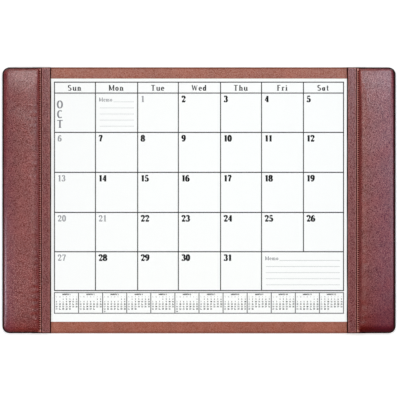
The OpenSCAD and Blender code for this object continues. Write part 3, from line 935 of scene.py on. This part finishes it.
class Graph:
    """Adds and links the nodes of one material."""

    def __init__(self, name):
        self.material = bpy.data.materials.new(name)
        self.material.use_nodes = True
        self.tree = self.material.node_tree
        self.shader = self.tree.nodes["Principled BSDF"]
        self.place = self.add("ShaderNodeTexCoord").outputs["Object"]

    def add(self, kind, inputs=(), **settings):
        node = self.tree.nodes.new(kind)
        for key, value in settings.items():
            setattr(node, key, value)
        for key, value in dict(inputs).items():
            self.set(node.inputs[key], value)
        return node

    def set(self, socket, value):
        if isinstance(value, bpy.types.NodeSocket):
            self.tree.links.new(value, socket)
        else:
            socket.default_value = value

    def noise(self, scale, detail=2.0, rough=0.5):
        inputs = {"Vector": self.place, "Scale": scale, "Detail": detail, "Roughness": rough}
        return self.add("ShaderNodeTexNoise", inputs).outputs["Fac"]

    def spread(self, value, low, high, new_low, new_high):
        inputs = {"Value": value, "From Min": low, "From Max": high, "To Min": new_low, "To Max": new_high}
        return self.add("ShaderNodeMapRange", inputs).outputs["Result"]

    def read(self, name):
        """A value that the mesh carries at its points."""
        return self.add("ShaderNodeAttribute", attribute_name=name).outputs["Fac"]

    def maths(self, operation, a, b):
        return self.add("ShaderNodeMath", {0: a, 1: b}, operation=operation).outputs[0]

    def mix(self, factor, a, b, blend="MIX"):
        node = self.add("ShaderNodeMix", {"Factor": factor}, data_type="RGBA", blend_type=blend)
        self.set(node.inputs[6], a)
        self.set(node.inputs[7], b)
        return node.outputs[2]

    def bump(self, height, strength, distance, socket="Normal"):
        node = self.add("ShaderNodeBump", {"Height": height, "Strength": strength, "Distance": distance})
        self.set(self.shader.inputs[socket], node.outputs["Normal"])

    def finish(self, colour, roughness, **constants):
        self.set(self.shader.inputs["Base Color"], colour)
        self.set(self.shader.inputs["Roughness"], roughness)
        for key, value in constants.items():
            self.shader.inputs[key.replace("_", " ")].default_value = value
        return self.material


def rgb(red, green, blue):
    """A colour of 0 to 255 as a linear colour with full cover."""
    def linear(c):
        c /= 255
        return c / 12.92 if c <= 0.04045 else ((c + 0.055) / 1.055) ** 2.4
    return (linear(red), linear(green), linear(blue), 1.0)


# Cells per metre, chosen so that the flat crowns show whole pebbles, and the share of it for a coarse grain
GRAIN = 562.0
LARGE_GRAIN = 0.67


def pebbles(g, vector, grain):
    """Height of a pebbled grain, from 0 in the valleys to 1."""
    cells = g.add("ShaderNodeTexVoronoi", {"Vector": vector, "Scale": grain, "Randomness": 1.0},
                  feature="DISTANCE_TO_EDGE").outputs["Distance"]
    pebble = g.spread(cells, 0.0, 0.25, 0.0, 1.0)
    speck = g.spread(g.noise(grain * 1.5, 2.0, 0.5), 0.36, 0.64, 0.0, 1.0)
    return g.maths("ADD", g.maths("MULTIPLY", pebble, 0.62), g.maths("MULTIPLY", speck, 0.38))


def leather(name, colour, valley, grain=GRAIN, depth=0.00022, finish=0.62, edge=None):
    """Pebbled leather: dull dark valleys and glossier tops; darker with edge paint and painted shade, lighter
    with rubbed leather and painted highlights, and a painted bluish sheen.
    """
    g = Graph(name)
    drift = g.add("ShaderNodeTexNoise", {"Vector": g.place, "Scale": 160.0, "Detail": 2.0}).outputs["Color"]
    drift = g.add("ShaderNodeVectorMath", {0: drift, 1: (0.5, 0.5, 0.5)}, operation="SUBTRACT").outputs[0]
    drift = g.add("ShaderNodeVectorMath", {0: drift, "Scale": 0.0012}, operation="SCALE").outputs[0]
    warped = g.add("ShaderNodeVectorMath", {0: g.place, 1: drift}, operation="ADD").outputs[0]
    coarse = g.read("coarse")
    small, large = pebbles(g, warped, grain), pebbles(g, warped, grain * LARGE_GRAIN)
    tone = g.add("ShaderNodeMix", {"Factor": coarse, "A": small, "B": large}).outputs["Result"]
    height = g.maths("ADD", tone, g.maths("MULTIPLY", g.noise(1800.0, 4.0, 0.6), 0.3))
    g.bump(height, 1.0, depth)
    g.bump(height, 0.12, depth, "Coat Normal")
    body = g.mix(tone, valley, colour)
    cloud = g.spread(g.noise(45.0, 5.0, 0.6), 0.3, 0.7, 0.88, 1.12)
    cloud = g.add("ShaderNodeCombineColor", {0: cloud, 1: cloud, 2: cloud}).outputs[0]
    body = g.mix(1.0, body, cloud, blend="MULTIPLY")
    rub_and_highlight, dye_and_shade, sheen_tint, worn = (g.read(value) for value in ("rub_and_highlight", "dye_and_shade", "bloom", "worn"))
    # Painted shade along the base's two edges.
    if edge:
        y = g.add("ShaderNodeSeparateXYZ", {0: g.place}).outputs["Y"]
        low, high = (edge - d for d in RIM_IN)
        rim = g.spread(g.maths("ABSOLUTE", y, 0.0), low * MM, high * MM, 0.0, RIM_SHADE)
        dye_and_shade = g.maths("MAXIMUM", dye_and_shade, rim)
    # Painted bluish sheen, then rubbed leather and painted highlights, then edge paint and painted shade,
    # which also take away the gloss.
    body = g.mix(sheen_tint, body, SHEEN_PAINT_COLOUR, blend="ADD")
    body = g.mix(rub_and_highlight, body, PALE_RUB_AND_HIGHLIGHT)
    body = g.mix(dye_and_shade, body, DARK_PAINT_AND_SHADE)
    bare = g.maths("MAXIMUM", g.maths("SUBTRACT", 1.0, g.maths("MULTIPLY", dye_and_shade, 1.8)), 0.02)
    gloss = g.maths("MULTIPLY", g.spread(tone, 0.2, 0.8, 0.0, 0.8), bare)
    g.set(g.shader.inputs["Specular IOR Level"], gloss)
    coat = g.maths("MULTIPLY", bare, g.spread(tone, 0.25, 0.75, 0.5 * finish, 1.5 * finish))
    coat = g.maths("MULTIPLY", coat, g.spread(worn, 0.0, 1.0, 1.0, 1.9))
    g.set(g.shader.inputs["Coat Weight"], coat)
    return g.finish(body, g.spread(tone, 0.0, 1.0, 0.5, 0.33), Coat_Roughness=0.26, Coat_IOR=1.5)


def fibre(name, colour, dark, scale, roughness=0.9, sheen=0.0):
    """Matted or woven fibres: felt, lining and foam."""
    g = Graph(name)
    fine = g.noise(scale, 5.0, 0.7)
    broad = g.noise(scale / 12, 3.0)
    tone = g.maths("ADD", fine, g.maths("MULTIPLY", broad, 0.4))
    body = g.mix(g.spread(tone, 0.45, 0.95, 0.0, 1.0), dark, colour)
    g.bump(fine, 0.6, 0.0003)
    return g.finish(body, g.spread(fine, 0.3, 0.7, roughness - 0.08, roughness), Sheen_Weight=sheen)


def sheet_stock(name, colour, dark, scale=900.0):
    """Paper and card with a faint fibre."""
    g = Graph(name)
    fine = g.noise(scale, 4.0, 0.65)
    body = g.mix(g.spread(fine, 0.35, 0.75, 0.0, 1.0), dark, colour)
    g.bump(fine, 0.15, 0.00005)
    return g.finish(body, g.spread(fine, 0.3, 0.7, 0.6, 0.75), Specular_IOR_Level=0.3)


def ink(name, colour, worn):
    """Print ink, a little thinner in places."""
    g = Graph(name)
    body = g.mix(g.spread(g.noise(700.0, 3.0), 0.4, 0.75, 0.0, 1.0), colour, worn)
    return g.finish(body, g.spread(g.noise(300.0), 0.3, 0.7, 0.45, 0.6), Specular_IOR_Level=0.15)


def thread_material(name, colour, dark):
    """Two-ply thread: slanting plies with a soft gloss."""
    g = Graph(name)
    slant = g.add("ShaderNodeMapping", {"Vector": g.place, "Rotation": (0, 0, math.radians(35))}).outputs[0]
    ply = g.add("ShaderNodeTexWave", {"Vector": slant, "Scale": 900.0, "Distortion": 1.5}).outputs["Fac"]
    g.bump(ply, 0.6, 0.0001)
    return g.finish(g.mix(ply, dark, colour), g.spread(ply, 0, 1, 0.55, 0.4))


# Colours for edge paint and painted shade, rubbed leather and painted highlights, the painted sheen, and
# painted shade along the base's edges.
DARK_PAINT_AND_SHADE = rgb(30, 3, 5)
PALE_RUB_AND_HIGHLIGHT = rgb(196, 128, 112)
SHEEN_PAINT_COLOUR = (0.0, 0.006, 0.026, 1.0)
RIM_IN, RIM_SHADE = (2.9, 2.1), 0.4
materials = {
    "rail_leather": leather("rail_leather", rgb(155, 45, 37), rgb(60, 8, 6), finish=0.86),
    "flap_leather": leather("flap_leather", rgb(145, 44, 41), rgb(60, 8, 7), finish=0.66),
    # The base leather takes painted shade along its two edges.
    "base_leather": leather("base_leather", rgb(170, 97, 74), rgb(130, 67, 50), 520.0, 0.00014, 0.2, HALF_D),
    "thread": thread_material("thread", rgb(196, 106, 101), rgb(142, 66, 63)),
    "lining": fibre("lining", rgb(92, 40, 38), rgb(58, 20, 20), 1500.0),
    "felt": fibre("felt", rgb(64, 60, 60), rgb(34, 32, 32), 1300.0, 0.95, 0.4),
    "foam": fibre("foam", rgb(226, 214, 176), rgb(190, 174, 130), 700.0),
    "board": sheet_stock("board", rgb(158, 126, 92), rgb(126, 96, 66), 500.0),
    "card": sheet_stock("card", rgb(176, 168, 152), rgb(150, 142, 126), 500.0),
    "paper": sheet_stock("paper", rgb(250, 250, 249), rgb(246, 246, 245)),
    "gum": sheet_stock("gum", rgb(236, 230, 212), rgb(222, 214, 194), 300.0),
}
ink_materials = {
    "rules": ink("ink_rules", rgb(44, 44, 46), rgb(66, 66, 68)),
    "heads": ink("ink_heads", rgb(30, 30, 32), rgb(52, 52, 54)),
    "dates": ink("ink_dates", rgb(6, 6, 8), rgb(24, 24, 26)),
    "boxes": ink("ink_boxes", rgb(86, 86, 88), rgb(106, 106, 108)),
    "notes": ink("ink_notes", rgb(122, 123, 128), rgb(140, 140, 144)),
    "rest_days": ink("ink_rest_days", rgb(144, 144, 148), rgb(162, 162, 166)),
}

for row in frame["record"]["subparts"]:
    node = frame["nodes"][row["node"]]
    node.data.materials.clear()
    node.data.materials.append(materials[row["material_slot"]])

SEEDS = {"left": (11, 5), "right": (23, 17)}

# Groups of folds beside each seam: middle along the rail, spread to either side, and number
SEAM_PLACES = {
    "left": [(0, 205, 70), (-157, 8, 9), (-205, 12, 9), (205, 10, 6)],
    "right": [(0, 205, 80), (150, 40, 12), (-205, 12, 8), (205, 10, 6)],
}
for side in SIDES:
    rail_seed, flap_seed = SEEDS[side]
    padding = rail_cover(side, SEAM_PLACES[side], rail_seed)
    padding.data.materials.append(materials["rail_leather"])
    stitches = stitch_rows(side)
    stitches.data.materials.append(materials["thread"])
    flap, start, end = flap_leather(side, flap_seed)
    flap.data.materials.append(materials["flap_leather"])
    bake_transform(flap)

# The second sheet's ink is sunk into it, so that it stays under the top sheet.
print_sheet("sheet_01", "top_sheet", "october", "OCT", first=2, days=31, pale_days=(1, 21))
print_sheet("sheet_02", "calendar", "november", "NOV", first=5, days=30, pale_days=(28,), z_lift=SUNK_INK,
            wide_note=False)


# Floor, light and camera

def make_floor():
    """A plain pale floor that reads white to the camera and still takes the shadow."""
    corners = [(x * FLOOR_HALF, y * FLOOR_HALF, -FLOOR_DROP) for x, y in ((-1, -1), (1, -1), (1, 1), (-1, 1))]
    floor = make_object("floor", corners, [(0, 1, 2, 3)], smooth=False)
    g = Graph("floor_paint")
    speck = g.noise(30.0, 3.0)
    colour = g.mix(g.spread(speck, 0.3, 0.7, 0.0, 1.0), (0.86, 0.86, 0.86, 1), (0.88, 0.88, 0.88, 1))
    path = g.add("ShaderNodeLightPath")
    seen = g.maths("MAXIMUM", path.outputs["Is Camera Ray"], path.outputs["Is Glossy Ray"])
    seen = g.maths("MAXIMUM", seen, path.outputs["Is Transmission Ray"])
    away = g.add("ShaderNodeVectorMath", {0: g.place}, operation="LENGTH").outputs["Value"]
    glow = g.spread(away, *GLOW_REACH, *FLOOR_GLOW)
    g.set(g.shader.inputs["Emission Strength"], g.maths("MULTIPLY", seen, glow))
    g.shader.inputs["Emission Color"].default_value = (1, 1, 1, 1)
    g.finish(colour, 0.8)
    floor.data.materials.append(g.material)


def make_world():
    world = bpy.data.worlds.new("studio")
    world.use_nodes = True
    tree = world.node_tree
    back = tree.nodes["Background"]
    path = tree.nodes.new("ShaderNodeLightPath")
    strength = tree.nodes.new("ShaderNodeMapRange")
    tree.links.new(path.outputs["Is Camera Ray"], strength.inputs["Value"])
    strength.inputs["To Min"].default_value = WORLD_LIGHT
    strength.inputs["To Max"].default_value = 1.0
    back.inputs["Color"].default_value = (1, 1, 1, 1)
    tree.links.new(strength.outputs["Result"], back.inputs["Strength"])
    bpy.context.scene.world = world


def softbox(name, place, size, power, colour):
    """A rectangular lamp that faces the middle of the pad."""
    lamp = bpy.data.lights.new(name, "AREA")
    lamp.shape = "RECTANGLE"
    lamp.size, lamp.size_y = size
    lamp.energy = power
    lamp.color = colour
    obj = bpy.data.objects.new(name, lamp)
    obj.location = place
    obj.rotation_mode = "QUATERNION"
    obj.rotation_quaternion = (-Vector(place)).to_track_quat("-Z", "Y")
    obj.visible_camera = False
    bpy.context.scene.collection.objects.link(obj)


FLOOR_HALF, FLOOR_DROP = 9000, 0.2
GLOW_REACH, FLOOR_GLOW = (0.8, 3.0), (0.38, 1.0)
WORLD_LIGHT = 0.14
COOL = (0.76, 0.88, 1.0)
WARM = (1.0, 0.93, 0.82)
WHITE = (1, 1, 1)

# Each lamp: name, place and size in metres, power in watts, colour
LAMPS = (
    ("centre", (0.0, 0.0, 1.0), (0.2, 0.5), 0.66, WARM),
    ("far_bank", (0.1, 0.7, 1.2), (1.3, 0.5), 2.4, WARM),
    ("far_low", (0.0, 1.2, 0.95), (1.3, 0.4), 3.4, WARM),
    ("overhead", (0.0, 0.04, 1.6), (1.2, 0.8), 2.05, WHITE),
    ("far_left", (-0.25, 0.46, 1.3), (0.3, 0.3), 2.8, WHITE),
    ("far_right", (0.42, 0.42, 1.3), (0.36, 0.42), 3.2, COOL),
    ("near_left", (-0.37, -0.24, 1.3), (0.25, 0.2), 0.35, WHITE),
    ("near_right", (0.4, -0.24, 1.3), (0.25, 0.2), 0.2, COOL),
    ("right_top", (0.42, 0.16, 1.3), (0.3, 0.3), 0.3, COOL),
    ("left_high", (-0.85, -0.16, 1.2), (0.25, 0.5), 0.9, COOL),
    ("right_high", (0.82, 0.02, 1.25), (0.25, 0.6), 1.4, COOL),
    ("left_bank", (-0.92, -0.2, 0.6), (0.3, 0.4), 1.8, COOL),
    ("right_bank", (0.92, 0.0, 0.6), (0.35, 0.5), 1.2, COOL),
    ("near_fill", (0.0, -1.1, 0.46), (1.3, 0.35), 6.8, WARM),
)
make_floor()
make_world()
for lamp in LAMPS:
    softbox(*lamp)

# Width of the picture at the height of the bed, in millimetres, and the camera's height above it in metres
FRAME_WIDTH = 658.9
CAMERA_HEIGHT = 6.0
CAMERA_OFF = (1.65, 0.5)
camera_data = bpy.data.cameras.new("camera")
camera_data.sensor_width = 36.0
camera_data.lens = camera_data.sensor_width * CAMERA_HEIGHT / (FRAME_WIDTH * MM)
camera = bpy.data.objects.new("camera", camera_data)
camera.location = (CAMERA_OFF[0] * MM, CAMERA_OFF[1] * MM, CAMERA_HEIGHT + Z_BED * MM)
bpy.context.scene.collection.objects.link(camera)
bpy.context.scene.camera = camera
bpy.context.scene.view_settings.view_transform = "Standard"
